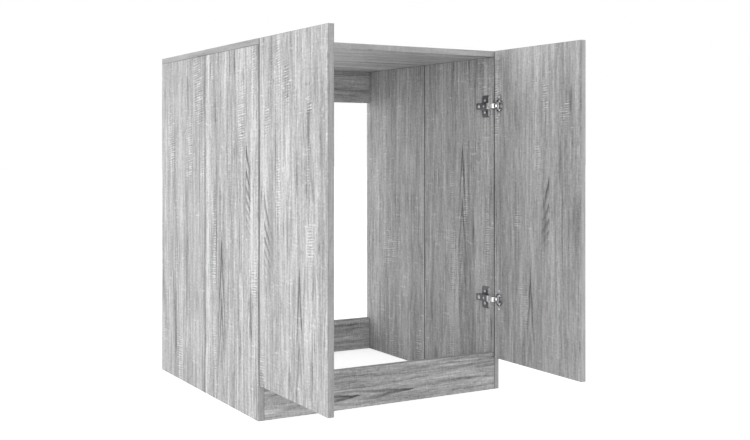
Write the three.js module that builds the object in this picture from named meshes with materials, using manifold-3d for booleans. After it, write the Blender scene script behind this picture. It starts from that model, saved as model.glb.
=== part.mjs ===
// Appliance cabinet in grey oak decor: an open-backed carcass of 15 mm boards and two doors
// on concealed cup hinges, shown with both doors open at a right angle.
// Millimetres. +X right, +Y towards the back, +Z up, origin on the floor below the middle.

import * as THREE from "three";
import { mergeVertices } from "three/addons/utils/BufferGeometryUtils.js";
import Module from "manifold-3d";

const wasm = await Module();
wasm.setup();

// Carcass
const cabinet_width = 710;
const cabinet_height = 915;
const carcass_depth = 698;
const board_thickness = 15;
const board_ease = 0.5;
const seam_gap = 0.25;
const plinth_height = 100;
const rail_height = 100;

// Doors
const door_plinth_overlap = 15;
const door_thickness = 15;
const door_ease = 0.8;
const door_side_reveal = 1.5;
const door_middle_gap = 3;
const door_back_gap = 2;
const open_angle = Math.PI / 2;
const widest_angle = (105 * Math.PI) / 180;

// Dowels in the seams of the two-board panels
const dowel_radius = 4;
const dowel_length = 30;
const dowel_chamfer = 1;
const dowel_end_gap = 0.5;
const side_dowel_height_shares = [0.12, 0.5, 0.88];
const top_dowel_width_shares = [0.2, 0.8];

// Clearances between hinge pieces, and under what only rests on its seat
const fit_gap = 0.3;
const seat_gap = 0.2;

// Hinge linkage. Inward is away from the cabinet side, forward is out of the cabinet, both
// from the front edge of the side's inner face. A link's turn is a share of the door's.
const hinge_height_shares = [0.192, 0.821];
const outer_pin_inward = 18;
const outer_pin_forward = 0.6;
const inner_pin_inward = 11.55;
const inner_pin_forward = 1;
const cup_outer_pin_from_edge = 9.6;
const cup_outer_pin_depth = 2.85;
const cup_inner_pin_from_edge = 9.2;
const cup_inner_pin_depth = 7.3;
const outer_link_turn_share = -0.24;
const inner_link_turn_share = -0.058;
const pin_radius = 1.2;
const eye_wall = 0.8;

// Hinge cup
const cup_radius = 17.2;
const cup_centre_from_edge = 22.5;
const cup_depth = 11.5;
const cup_wall = 0.8;
const cup_rim_radius = 18.6;
const flange_thickness = 1.2;
const flange_height = 62;
const flange_width = 17;
const flange_from_cup_centre = 1.5;
const cup_mouth_half_height = 6.6;
const cup_mouth_depth = 4.6;
const cup_screw_spacing = 48;

// Hinge arm, a folded steel channel
const arm_half_height = 8.25;
const arm_sheet = 1.2;
const arm_length = 62;
const arm_web_inward = 16;
const arm_foot_inward = 3;
const arm_neck_back = 12;
const arm_web_end_back = 3.6;
const arm_throat_inward = 7.5;
const arm_throat_back = 6;
const arm_nose_radius = 3;
const arm_rivet_proud = 0.3;

// Links
const outer_link_half_height = 6;
const outer_link_cheek = 1.1;
const outer_link_half_width = 1.7;
const outer_link_bow = 4.8;
const outer_link_bow_share = 0.58;
const outer_link_web = 1;
const outer_link_web_shares = [0.1, 0.42];
const inner_link_half_height = 3.8;
const inner_link_half_width = 1.1;
const inner_link_bow = 4.6;
const inner_link_bow_share = 0.3;
const slot_side_gap = 0.15;

// Mounting plate
const plate_wing_height = 60;
const plate_wing_width = 16;
const plate_wing_thickness = 2;
const plate_centre_back = 37;
const plate_screw_spacing = 32;
const spine_front_back = 21;
const spine_short_of_arm_end = 4;
const spine_half_height = 6.5;
const spine_inward = 9;
const spine_ease = 1;

// Screws
const wood_screw_radius = 2;
const wood_screw_length = 11.5;
const wood_screw_head_radius = 3.9;
const wood_screw_head_height = 1.6;
const wood_screw_tip = 2.5;
const clamp_screw_radius = 2.4;
const clamp_screw_head_radius = 4.4;
const clamp_screw_head_height = 2;
const clamp_screw_from_arm_end = 14;
const clamp_screw_grip = 4;
const recess_length_share = 0.62;
const recess_width_share = 0.16;
const recess_depth_share = 0.6;

// Facets
const cup_sides = 26;
const pin_sides = 10;
const screw_sides = 10;
const strap_steps = 5;
const arc_steps = 4;
const travel_steps = 42;
const cut_overrun = 1;

// Colours and finishes
const oak = { color: 0xa6a6a6, roughness: 0.62, metalness: 0 };
const nickel = { color: 0xc9c9cb, roughness: 0.28, metalness: 0.9 };
const dark_nickel = { color: 0x8d8d90, roughness: 0.32, metalness: 0.9 };
const beech = { color: 0xc8a87c, roughness: 0.7, metalness: 0 };

// What is made for each side, each row of boards and each hinge height
const sides = [
  { name: "left", sign: -1 },
  { name: "right", sign: 1 },
];
const rows = [
  { name: "front", seam: 1 },
  { name: "rear", seam: -1 },
];
const hinge_names = ["lower", "upper"];
const screw_pair = [
  { name: "a", way: 1 },
  { name: "b", way: -1 },
];

// Sizes that follow from the ones above
const side_height = cabinet_height - board_thickness - seam_gap;
const half_depth = (carcass_depth - seam_gap) / 2;
const inner_width = cabinet_width - 2 * board_thickness;
const fitted_width = inner_width - 2 * seam_gap;
const inner_face = inner_width / 2;
const side_middle = inner_face + board_thickness / 2;
const door_width = cabinet_width / 2 - door_side_reveal - door_middle_gap / 2;
const door_bottom = plinth_height - door_plinth_overlap;
const door_height = cabinet_height - door_bottom;
const pin_hole_radius = pin_radius + fit_gap;
const eye_radius = pin_hole_radius + eye_wall;
const screw_hole_radius = wood_screw_radius + fit_gap;
const clamp_hole_radius = clamp_screw_radius + fit_gap;
const clamp_screw_back = arm_length - clamp_screw_from_arm_end;
const spine_length = arm_length - spine_short_of_arm_end - spine_front_back;
const flange_centre_from_edge = cup_centre_from_edge + flange_from_cup_centre;
const flange_top = seat_gap + flange_thickness;
const hinge_heights = hinge_height_shares.map((share) => door_bottom + share * door_height);

// Places of the linkage in its plan, at any opening angle of the door

function turned(point, angle) {
  return point.clone().rotateAround(new THREE.Vector2(), angle);
}

const outer_pin = new THREE.Vector2(outer_pin_inward, outer_pin_forward);
const inner_pin = new THREE.Vector2(inner_pin_inward, inner_pin_forward);
const closed_door_edge = new THREE.Vector2(door_side_reveal - board_thickness, door_back_gap);
const cup_outer_pin = new THREE.Vector2(cup_outer_pin_from_edge, cup_outer_pin_depth);
const cup_inner_pin = new THREE.Vector2(cup_inner_pin_from_edge, cup_inner_pin_depth);

function cup_outer_pin_at(angle) {
  const arm_to_cup = closed_door_edge.clone().add(cup_outer_pin).sub(outer_pin);
  return turned(arm_to_cup, outer_link_turn_share * angle).add(outer_pin);
}

function door_edge_at(angle) {
  return cup_outer_pin_at(angle).sub(turned(cup_outer_pin, angle));
}

function cup_inner_pin_at(angle) {
  return door_edge_at(angle).add(turned(cup_inner_pin, angle));
}

const open_cup_outer_pin = cup_outer_pin_at(open_angle);
const open_cup_inner_pin = cup_inner_pin_at(open_angle);
const open_door_edge = door_edge_at(open_angle);
const front_y = (open_door_edge.y + door_width - carcass_depth) / 2;

// The inner link is pinned in the cup and slides along the arm's inner pin. This gives the
// stretch of its slot, and how far the pin strays sideways from it, over the door's travel.
function inner_slot() {
  const along = inner_pin.clone().sub(open_cup_inner_pin).normalize();
  const slot = { near: Infinity, far: 0, stray: 0 };
  for (let i = 0; i <= travel_steps; i += 1) {
    const angle = (i / travel_steps) * widest_angle;
    const link_turn = inner_link_turn_share * (open_angle - angle);
    const pin = turned(inner_pin.clone().sub(cup_inner_pin_at(angle)), link_turn);
    slot.near = Math.min(slot.near, pin.dot(along));
    slot.far = Math.max(slot.far, pin.dot(along));
    slot.stray = Math.max(slot.stray, Math.abs(pin.cross(along)));
  }
  return slot;
}

// Solids

function solid_of(geometry) {
  const bare = geometry.clone();
  bare.deleteAttribute("normal");
  bare.deleteAttribute("uv");
  const merged = mergeVertices(bare);
  return new wasm.Manifold(
    new wasm.Mesh({
      numProp: 3,
      vertProperties: new Float32Array(merged.attributes.position.array),
      triVerts: new Uint32Array(merged.index.array),
    }),
  );
}

function geometry_of(solid) {
  const mesh = solid.getMesh();
  const indexed = new THREE.BufferGeometry();
  indexed.setAttribute("position", new THREE.BufferAttribute(mesh.vertProperties, mesh.numProp));
  indexed.setIndex(new THREE.BufferAttribute(mesh.triVerts, 1));
  const faceted = indexed.toNonIndexed();
  faceted.computeVertexNormals();
  return faceted;
}

function joined(...geometries) {
  return geometry_of(geometries.map(solid_of).reduce((sum, solid) => sum.add(solid)));
}

function cut(geometry, ...tools) {
  return geometry_of(tools.map(solid_of).reduce((rest, tool) => rest.subtract(tool), solid_of(geometry)));
}

function piece(name, geometry, finish) {
  const mesh = new THREE.Mesh(geometry, new THREE.MeshStandardMaterial(finish));
  mesh.name = name;
  return mesh;
}

function box(x_size, y_size, z_size, x, y, z) {
  return new THREE.BoxGeometry(x_size, y_size, z_size).translate(x, y, z);
}

// A flat shape in the XY plane, extruded from one Z to another
function slab(shape, z_low, z_high) {
  const options = { depth: z_high - z_low, bevelEnabled: false, curveSegments: arc_steps };
  return new THREE.ExtrudeGeometry(shape, options).translate(0, 0, z_low);
}

// Cylinders along each axis, between two places on it given in either order

function x_cylinder(radius, x_from, x_to, y, z, side_count) {
  return new THREE.CylinderGeometry(radius, radius, Math.abs(x_to - x_from), side_count)
    .rotateZ(Math.PI / 2)
    .translate((x_from + x_to) / 2, y, z);
}

function y_cylinder(radius, y_from, y_to, x, z, side_count) {
  return new THREE.CylinderGeometry(radius, radius, Math.abs(y_to - y_from), side_count)
    .translate(x, (y_from + y_to) / 2, z);
}

function z_cylinder(radius, z_from, z_to, x, y, side_count) {
  return new THREE.CylinderGeometry(radius, radius, Math.abs(z_to - z_from), side_count)
    .rotateX(Math.PI / 2)
    .translate(x, y, (z_from + z_to) / 2);
}

// A board in the XY plane around the origin, with all its edges eased
function board(x_size, y_size, thickness, ease) {
  const half_x = x_size / 2 - ease;
  const half_y = y_size / 2 - ease;
  const outline = new THREE.Shape([
    new THREE.Vector2(-half_x, -half_y),
    new THREE.Vector2(half_x, -half_y),
    new THREE.Vector2(half_x, half_y),
    new THREE.Vector2(-half_x, half_y),
  ]);
  const options = {
    depth: thickness - 2 * ease,
    bevelEnabled: true,
    bevelThickness: ease,
    bevelSize: ease,
    bevelSegments: 1,
  };
  return new THREE.ExtrudeGeometry(outline, options).translate(0, 0, ease - thickness / 2);
}

// Carcass

function row_middle(row) {
  return front_y + carcass_depth / 2 - (row.seam * (half_depth + seam_gap)) / 2;
}

// Dowel bores in a board's edge at the seam, around the board's own middle
function seam_bores(row, places) {
  const seam_y = (row.seam * (half_depth + seam_gap)) / 2;
  const reach = dowel_length / 2 + dowel_end_gap;
  return places.map(([x, z]) =>
    y_cylinder(dowel_radius + fit_gap, seam_y - reach, seam_y + reach, x, z, pin_sides),
  );
}

// Bores for the mounting plates' screws, in the inner face of a front side board
function plate_screw_bores(side) {
  const face = (-side.sign * board_thickness) / 2;
  const outside = face - side.sign * cut_overrun;
  const bottom = face + side.sign * (wood_screw_length + dowel_end_gap);
  const y = plate_centre_back - half_depth / 2;
  return hinge_heights.flatMap((height) =>
    screw_pair.map(({ way }) => {
      const z = height - side_height / 2 + (way * plate_screw_spacing) / 2;
      return x_cylinder(screw_hole_radius, outside, bottom, y, z, screw_sides);
    }),
  );
}

function side_board(side, row) {
  const plain = board(half_depth, side_height, board_thickness, board_ease)
    .rotateX(Math.PI / 2)
    .rotateZ(Math.PI / 2);
  const bores = seam_bores(
    row,
    side_dowel_height_shares.map((share) => [0, (share - 1 / 2) * side_height]),
  );
  if (row.name === "front") {
    bores.push(...plate_screw_bores(side));
  }
  const panel = piece(`${side.name}_side_${row.name}`, cut(plain, ...bores), oak);
  panel.position.set(side.sign * side_middle, row_middle(row), side_height / 2);
  return panel;
}

function top_board(row) {
  const plain = board(cabinet_width, half_depth, board_thickness, board_ease);
  const bores = seam_bores(
    row,
    top_dowel_width_shares.map((share) => [(share - 1 / 2) * cabinet_width, 0]),
  );
  const panel = piece(`top_${row.name}`, cut(plain, ...bores), oak);
  panel.position.set(0, row_middle(row), cabinet_height - board_thickness / 2);
  return panel;
}

// An upright board between the sides
function cross_board(name, height, y, z_low) {
  const geometry = board(fitted_width, height, board_thickness, board_ease).rotateX(Math.PI / 2);
  const panel = piece(name, geometry, oak);
  panel.position.set(0, y, z_low + height / 2);
  return panel;
}

function dowel(name, x, z) {
  const reach = dowel_length / 2;
  const profile = [
    new THREE.Vector2(0, -reach),
    new THREE.Vector2(dowel_radius - dowel_chamfer, -reach),
    new THREE.Vector2(dowel_radius, dowel_chamfer - reach),
    new THREE.Vector2(dowel_radius, reach - dowel_chamfer),
    new THREE.Vector2(dowel_radius - dowel_chamfer, reach),
    new THREE.Vector2(0, reach),
  ];
  const pin = piece(name, new THREE.LatheGeometry(profile, pin_sides), beech);
  pin.position.set(x, front_y + carcass_depth / 2, z);
  return pin;
}

// Screws. The head's underside lies at x = 0 and the shank runs towards -x.

function screw(name, size, finish) {
  const profile = [
    new THREE.Vector2(0, -size.length),
    new THREE.Vector2(size.radius, size.tip - size.length),
    new THREE.Vector2(size.radius, 0),
    new THREE.Vector2(size.head_radius, 0),
    new THREE.Vector2(size.head_radius - size.head_height / 2, size.head_height),
    new THREE.Vector2(0, size.head_height),
  ];
  const turned_body = new THREE.LatheGeometry(profile, screw_sides).rotateZ(-Math.PI / 2);
  const recess_depth = recess_depth_share * size.head_height + cut_overrun;
  const recess_length = 2 * recess_length_share * size.head_radius;
  const recess_width = 2 * recess_width_share * size.head_radius;
  const recess_x = size.head_height + cut_overrun - recess_depth / 2;
  const geometry = cut(
    turned_body,
    box(recess_depth, recess_length, recess_width, recess_x, 0, 0),
    box(recess_depth, recess_width, recess_length, recess_x, 0, 0),
  );
  return piece(name, geometry, finish);
}

function wood_screw(name) {
  const size = {
    radius: wood_screw_radius,
    length: wood_screw_length,
    tip: wood_screw_tip,
    head_radius: wood_screw_head_radius,
    head_height: wood_screw_head_height,
  };
  return screw(name, size, nickel);
}

function clamp_screw(name) {
  const size = {
    radius: clamp_screw_radius,
    length: arm_web_inward - spine_inward + clamp_screw_grip - fit_gap,
    tip: clamp_screw_radius,
    head_radius: clamp_screw_head_radius,
    head_height: clamp_screw_head_height,
  };
  const fastener = screw(name, size, dark_nickel);
  fastener.position.set(arm_web_inward + seat_gap, clamp_screw_back, 0);
  return fastener;
}

// Hinge pieces. In their group x runs inward, -y runs forward and z is up, with the origin at
// the front edge of the side's inner face at the hinge's height.

function on_plan(point) {
  return new THREE.Vector2(point.x, -point.y);
}

// Points at a distance to the left of a curve, between two shares of its length
function beside(curve, distance, from_share = 0, to_share = 1) {
  const steps = curve.isLineCurve ? 1 : strap_steps;
  const points = [];
  for (let i = 0; i <= steps; i += 1) {
    const share = from_share + ((to_share - from_share) * i) / steps;
    const along = curve.getTangent(share);
    const left = new THREE.Vector2(-along.y, along.x);
    points.push(curve.getPoint(share).addScaledVector(left, distance));
  }
  return points;
}

// A strap of even width along a curve, with a round end of its own radius at each end
function strap(curve, half_width, start_radius, end_radius, z_low, z_high) {
  const left = beside(curve, half_width);
  const right = beside(curve, -half_width);
  const start = curve.getPoint(0);
  const end = curve.getPoint(1);
  const shapes = [
    new THREE.Shape([...left, ...right.reverse()]),
    new THREE.Shape().absarc(start.x, start.y, start_radius, 0, 2 * Math.PI),
    new THREE.Shape().absarc(end.x, end.y, end_radius, 0, 2 * Math.PI),
  ];
  return joined(...shapes.map((shape) => slab(shape, z_low, z_high)));
}

// Two cheeks and, near the arm, the web that joins them
function outer_link() {
  const start = on_plan(outer_pin);
  const end = on_plan(open_cup_outer_pin);
  const chord = end.clone().sub(start).normalize();
  const outwards = new THREE.Vector2(-chord.y, chord.x);
  const bow = start.clone().lerp(end, outer_link_bow_share);
  bow.addScaledVector(outwards, 2 * outer_link_bow);
  const curve = new THREE.QuadraticBezierCurve(start, bow, end);
  const high = outer_link_half_height;
  const cheek_low = high - outer_link_cheek;
  const cheeks = [[cheek_low, high], [-high, -cheek_low]].map(([z_low, z_high]) =>
    strap(curve, outer_link_half_width, eye_radius, eye_radius, z_low, z_high),
  );
  const web_outer = beside(curve, outer_link_half_width, ...outer_link_web_shares);
  const web_inner = beside(curve, outer_link_half_width - outer_link_web, ...outer_link_web_shares);
  const web = slab(new THREE.Shape([...web_outer, ...web_inner.reverse()]), -high, high);
  const beyond = high + cut_overrun;
  const holes = [start, end].map(({ x, y }) =>
    z_cylinder(pin_hole_radius, -beyond, beyond, x, y, pin_sides),
  );
  return cut(joined(...cheeks, web), ...holes);
}

// A bowed strap from the cup's inner pin to a pad with the slot for the arm's inner pin
function inner_link() {
  const slot = inner_slot();
  const slot_radius = pin_radius + slot.stray + slot_side_gap;
  const pad_radius = slot_radius + eye_wall;
  const start = on_plan(open_cup_inner_pin);
  const chord = on_plan(inner_pin).sub(start).normalize();
  const along = (distance) => start.clone().addScaledVector(chord, distance);
  const pad_from = along(slot.near - 2 * eye_radius);
  const slot_to = along(slot.far);
  const outwards = new THREE.Vector2(chord.y, -chord.x);
  const bow = start.clone().lerp(on_plan(inner_pin), inner_link_bow_share);
  bow.addScaledVector(outwards, 2 * inner_link_bow);
  const curve = new THREE.QuadraticBezierCurve(start, bow, pad_from);
  const pad_line = new THREE.LineCurve(pad_from, slot_to);
  const slot_line = new THREE.LineCurve(along(slot.near), slot_to);
  const high = inner_link_half_height;
  const beyond = high + cut_overrun;
  const body = joined(
    strap(curve, inner_link_half_width, eye_radius, inner_link_half_width, -high, high),
    strap(pad_line, pad_radius, inner_link_half_width, pad_radius, -high, high),
  );
  return cut(
    body,
    strap(slot_line, slot_radius, slot_radius, slot_radius, -beyond, beyond),
    z_cylinder(pin_hole_radius, -beyond, beyond, start.x, start.y, pin_sides),
  );
}

// The arm's side view, on the hinge's plan: a foot along the board, and a nose at the pins
function arm_outline() {
  const nose = arm_nose_radius;
  const shape = new THREE.Shape();
  shape.moveTo(arm_foot_inward, arm_length - nose);
  shape.lineTo(arm_foot_inward, arm_neck_back);
  shape.lineTo(arm_throat_inward, arm_throat_back);
  shape.lineTo(inner_pin.x - nose, -inner_pin.y);
  shape.absarc(inner_pin.x, -inner_pin.y, nose, Math.PI, 1.5 * Math.PI, false);
  shape.lineTo(outer_pin.x, -outer_pin.y - nose);
  shape.absarc(outer_pin.x, -outer_pin.y, nose, -Math.PI / 2, 0, false);
  shape.lineTo(arm_web_inward, arm_neck_back);
  shape.lineTo(arm_web_inward, arm_length - nose);
  shape.absarc(arm_web_inward - nose, arm_length - nose, nose, 0, Math.PI / 2, false);
  shape.lineTo(arm_foot_inward + nose, arm_length);
  shape.absarc(arm_foot_inward + nose, arm_length - nose, nose, Math.PI / 2, Math.PI, false);
  return shape;
}

// What the channel leaves open between its two cheeks, below its web
function arm_hollow() {
  const web_back = arm_web_inward - arm_sheet;
  const rear = arm_length + cut_overrun;
  const front = -outer_pin.y - arm_nose_radius - cut_overrun;
  const inward = outer_pin.x + arm_nose_radius + cut_overrun;
  return new THREE.Shape([
    new THREE.Vector2(0, rear),
    new THREE.Vector2(0, front),
    new THREE.Vector2(inward, front),
    new THREE.Vector2(inward, arm_web_end_back),
    new THREE.Vector2(outer_pin.x - arm_sheet, arm_web_end_back),
    new THREE.Vector2(web_back, arm_neck_back),
    new THREE.Vector2(web_back, rear),
  ]);
}

function arm() {
  const cheek_inside = arm_half_height - arm_sheet;
  const channel = cut(
    slab(arm_outline(), -arm_half_height, arm_half_height),
    slab(arm_hollow(), -cheek_inside, cheek_inside),
    x_cylinder(
      clamp_hole_radius,
      arm_web_inward - arm_sheet - cut_overrun,
      arm_web_inward + cut_overrun,
      clamp_screw_back,
      0,
      screw_sides,
    ),
  );
  const reach = arm_half_height + arm_rivet_proud;
  const pins = [outer_pin, inner_pin].map((point) =>
    z_cylinder(pin_radius, -reach, reach, point.x, -point.y, pin_sides),
  );
  return joined(channel, ...pins);
}

// An upright plate with round ends, on the YZ plane, from x = 0
function round_ended_plate(height, width, thickness) {
  const radius = width / 2;
  const end_height = height / 2 - radius;
  const shape = new THREE.Shape();
  shape.absarc(0, end_height, radius, 0, Math.PI, false);
  shape.absarc(0, -end_height, radius, Math.PI, 2 * Math.PI, false);
  return slab(shape, 0, thickness).rotateX(Math.PI / 2).rotateZ(Math.PI / 2);
}

function mounting_plate() {
  const wings = round_ended_plate(plate_wing_height, plate_wing_width, plate_wing_thickness)
    .translate(0, plate_centre_back, 0);
  const spine = board(spine_length, 2 * spine_half_height, spine_inward, spine_ease)
    .rotateX(Math.PI / 2)
    .rotateZ(Math.PI / 2)
    .translate(spine_inward / 2, spine_front_back + spine_length / 2, 0);
  const screw_holes = screw_pair.map(({ way }) =>
    x_cylinder(
      screw_hole_radius,
      -cut_overrun,
      plate_wing_thickness + cut_overrun,
      plate_centre_back,
      (way * plate_screw_spacing) / 2,
      screw_sides,
    ),
  );
  const clamp_hole = x_cylinder(
    clamp_hole_radius,
    spine_inward - clamp_screw_grip,
    spine_inward + cut_overrun,
    clamp_screw_back,
    0,
    screw_sides,
  );
  return cut(joined(wings, spine), ...screw_holes, clamp_hole);
}

function hinge(side, label, height) {
  const group = new THREE.Group();
  group.add(piece(`${label}_mounting_plate`, mounting_plate(), nickel));
  group.add(piece(`${label}_hinge_arm`, arm(), nickel));
  group.add(piece(`${label}_outer_link`, outer_link(), nickel));
  group.add(piece(`${label}_inner_link`, inner_link(), dark_nickel));
  group.add(clamp_screw(`${label}_clamp_screw`));
  for (const { name, way } of screw_pair) {
    const fastener = wood_screw(`${label}_plate_screw_${name}`);
    const z = (way * plate_screw_spacing) / 2;
    fastener.position.set(plate_wing_thickness + seat_gap, plate_centre_back, z);
    group.add(fastener);
  }
  group.position.z = height;
  return group;
}

// Doors and their cups, in the door's frame: x from the hinge edge along the door, -y into it

function cup_shell() {
  const inner_radius = cup_radius - cup_wall;
  const floor_top = cup_wall - cup_depth;
  const profile = [
    new THREE.Vector2(0, -cup_depth),
    new THREE.Vector2(cup_radius, -cup_depth),
    new THREE.Vector2(cup_radius, seat_gap),
    new THREE.Vector2(cup_rim_radius, seat_gap),
    new THREE.Vector2(cup_rim_radius, flange_top),
    new THREE.Vector2(inner_radius, flange_top),
    new THREE.Vector2(inner_radius, floor_top),
    new THREE.Vector2(0, floor_top),
  ];
  const shell = new THREE.LatheGeometry(profile, cup_sides).translate(cup_centre_from_edge, 0, 0);
  const ears = round_ended_plate(flange_height, flange_width, flange_thickness)
    .rotateZ(Math.PI / 2)
    .translate(flange_centre_from_edge, seat_gap, 0);
  const hollow = y_cylinder(
    inner_radius,
    floor_top,
    flange_top + cut_overrun,
    cup_centre_from_edge,
    0,
    cup_sides,
  );
  return cut(joined(shell, ears), hollow, cup_mouth(), ...cup_screw_holes());
}

// The gap in the cup's wall and flange that the links pass through
function cup_mouth() {
  const top = flange_top + cut_overrun;
  const depth = top + cup_mouth_depth;
  return box(
    cup_centre_from_edge,
    depth,
    2 * cup_mouth_half_height,
    cup_outer_pin.x - cup_centre_from_edge / 2,
    top - depth / 2,
    0,
  );
}

function cup_screw_holes() {
  return screw_pair.map(({ way }) =>
    y_cylinder(
      screw_hole_radius,
      seat_gap - cut_overrun,
      flange_top + cut_overrun,
      flange_centre_from_edge,
      (way * cup_screw_spacing) / 2,
      screw_sides,
    ),
  );
}

// The cup with its pins: a stub at each side for the outer link, and a bar for the inner one
function cup() {
  // A pin's end stays inside the round wall at the pin's side nearest the door's edge
  const reach = (pin) => Math.sqrt(cup_radius ** 2 - (cup_centre_from_edge - pin.x + pin_radius) ** 2);
  const stub_from = inner_link_half_height + fit_gap;
  const stub_to = reach(cup_outer_pin);
  const bar_to = reach(cup_inner_pin);
  const pins = [
    [cup_outer_pin, stub_from, stub_to],
    [cup_outer_pin, -stub_to, -stub_from],
    [cup_inner_pin, -bar_to, bar_to],
  ];
  return joined(
    cup_shell(),
    ...pins.map(([pin, z_from, z_to]) => z_cylinder(pin_radius, z_from, z_to, pin.x, -pin.y, pin_sides)),
  );
}

function door_board() {
  const plain = board(door_width, door_height, door_thickness, door_ease)
    .rotateX(Math.PI / 2)
    .translate(door_width / 2, -door_thickness / 2, door_bottom + door_height / 2);
  const bores = hinge_heights.flatMap((height) => [
    y_cylinder(
      cup_radius + fit_gap,
      -cup_depth - fit_gap,
      cut_overrun,
      cup_centre_from_edge,
      height,
      cup_sides,
    ),
    ...screw_pair.map(({ way }) =>
      y_cylinder(
        screw_hole_radius,
        -wood_screw_length - fit_gap,
        cut_overrun,
        flange_centre_from_edge,
        height + (way * cup_screw_spacing) / 2,
        screw_sides,
      ),
    ),
  ]);
  return cut(plain, ...bores);
}

function door(side) {
  const group = new THREE.Group();
  group.add(piece(`${side.name}_door`, door_board(), oak));
  hinge_heights.forEach((height, i) => {
    const label = `${side.name}_${hinge_names[i]}`;
    const hinge_cup = piece(`${label}_hinge_cup`, cup(), nickel);
    hinge_cup.position.z = height;
    group.add(hinge_cup);
    for (const { name, way } of screw_pair) {
      const fastener = wood_screw(`${label}_cup_screw_${name}`);
      const z = height + (way * cup_screw_spacing) / 2;
      fastener.rotation.z = Math.PI / 2;
      fastener.position.set(flange_centre_from_edge, flange_top + seat_gap, z);
      group.add(fastener);
    }
  });
  group.rotation.z = -open_angle;
  group.position.set(open_door_edge.x, -open_door_edge.y, 0);
  return group;
}

// The whole cabinet

const cabinet = new THREE.Group();
cabinet.name = "appliance_cabinet";
for (const row of rows) {
  for (const side of sides) {
    cabinet.add(side_board(side, row));
  }
  cabinet.add(top_board(row));
}
const plinth_y = front_y + board_thickness / 2;
const rail_y = front_y + carcass_depth - board_thickness / 2;
cabinet.add(cross_board("plinth", plinth_height, plinth_y, 0));
cabinet.add(cross_board("back_rail_lower", rail_height, rail_y, 0));
cabinet.add(cross_board("back_rail_upper", rail_height, rail_y, side_height - rail_height));
for (const side of sides) {
  side_dowel_height_shares.forEach((share, i) => {
    const name = `${side.name}_side_dowel_${i + 1}`;
    cabinet.add(dowel(name, side.sign * side_middle, share * side_height));
  });
}
top_dowel_width_shares.forEach((share, i) => {
  const x = (share - 1 / 2) * cabinet_width;
  cabinet.add(dowel(`top_dowel_${i + 1}`, x, cabinet_height - board_thickness / 2));
});
for (const side of sides) {
  const fittings = new THREE.Group();
  fittings.add(door(side));
  hinge_heights.forEach((height, i) => {
    fittings.add(hinge(side, `${side.name}_${hinge_names[i]}`, height));
  });
  fittings.position.set(side.sign * inner_face, front_y, 0);
  fittings.scale.x = -side.sign;
  cabinet.add(fittings);
}

export default cabinet;
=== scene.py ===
# The looks of an appliance cabinet: boards in grey oak decor, nickel-plated cup hinges with
# their fine parts, and a plain white studio. Metres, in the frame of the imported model.

import math

import bmesh
import bpy
from mathutils import Matrix, Vector


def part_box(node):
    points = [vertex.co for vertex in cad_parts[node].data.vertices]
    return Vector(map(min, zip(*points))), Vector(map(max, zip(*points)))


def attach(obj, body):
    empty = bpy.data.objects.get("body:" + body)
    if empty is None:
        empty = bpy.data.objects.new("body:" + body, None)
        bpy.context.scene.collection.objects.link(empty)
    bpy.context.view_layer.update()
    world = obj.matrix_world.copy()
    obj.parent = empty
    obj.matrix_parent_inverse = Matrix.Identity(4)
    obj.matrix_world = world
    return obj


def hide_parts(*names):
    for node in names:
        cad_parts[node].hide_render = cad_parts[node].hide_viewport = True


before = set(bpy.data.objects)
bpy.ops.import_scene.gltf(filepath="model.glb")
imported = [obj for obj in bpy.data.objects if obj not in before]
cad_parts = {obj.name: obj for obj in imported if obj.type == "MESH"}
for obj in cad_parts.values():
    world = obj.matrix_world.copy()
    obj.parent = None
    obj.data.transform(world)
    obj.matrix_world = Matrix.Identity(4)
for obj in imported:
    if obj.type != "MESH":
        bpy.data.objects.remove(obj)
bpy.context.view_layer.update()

MM = 0.001
WHITE = (1.0, 1.0, 1.0, 1.0)

# Camera: level, with the frame moved down to the horizon of the photograph
CAMERA_PLACE = Vector((-1.3924, -2.5203, 0.6517))
CAMERA_YAW = math.radians(30.054)
CAMERA_LENS = 51.37
CAMERA_SENSOR = 36.0
CAMERA_SHIFT_Y = -0.0955

# World and floor: the sky at the horizon and overhead, the floor's grey, glow and half width
HORIZON_LEVEL = 1.02
ZENITH_LEVEL = 0.70
FLOOR_GREY = (0.75, 0.75, 0.75, 1.0)
FLOOR_GLOW = 0.68
FLOOR_HALF = 30.0

# Lamps: where each stands, what it faces, its width and height, and its power
LAMPS = {
    "key": ((-4.3, 1.2, 0.75), (-0.3, 0.0, 0.4), (3.0, 1.3), 24.0),
    "front": ((-2.2, -3.4, 0.95), (0.0, -0.1, 0.40), (2.2, 1.4), 20.0),
}


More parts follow.
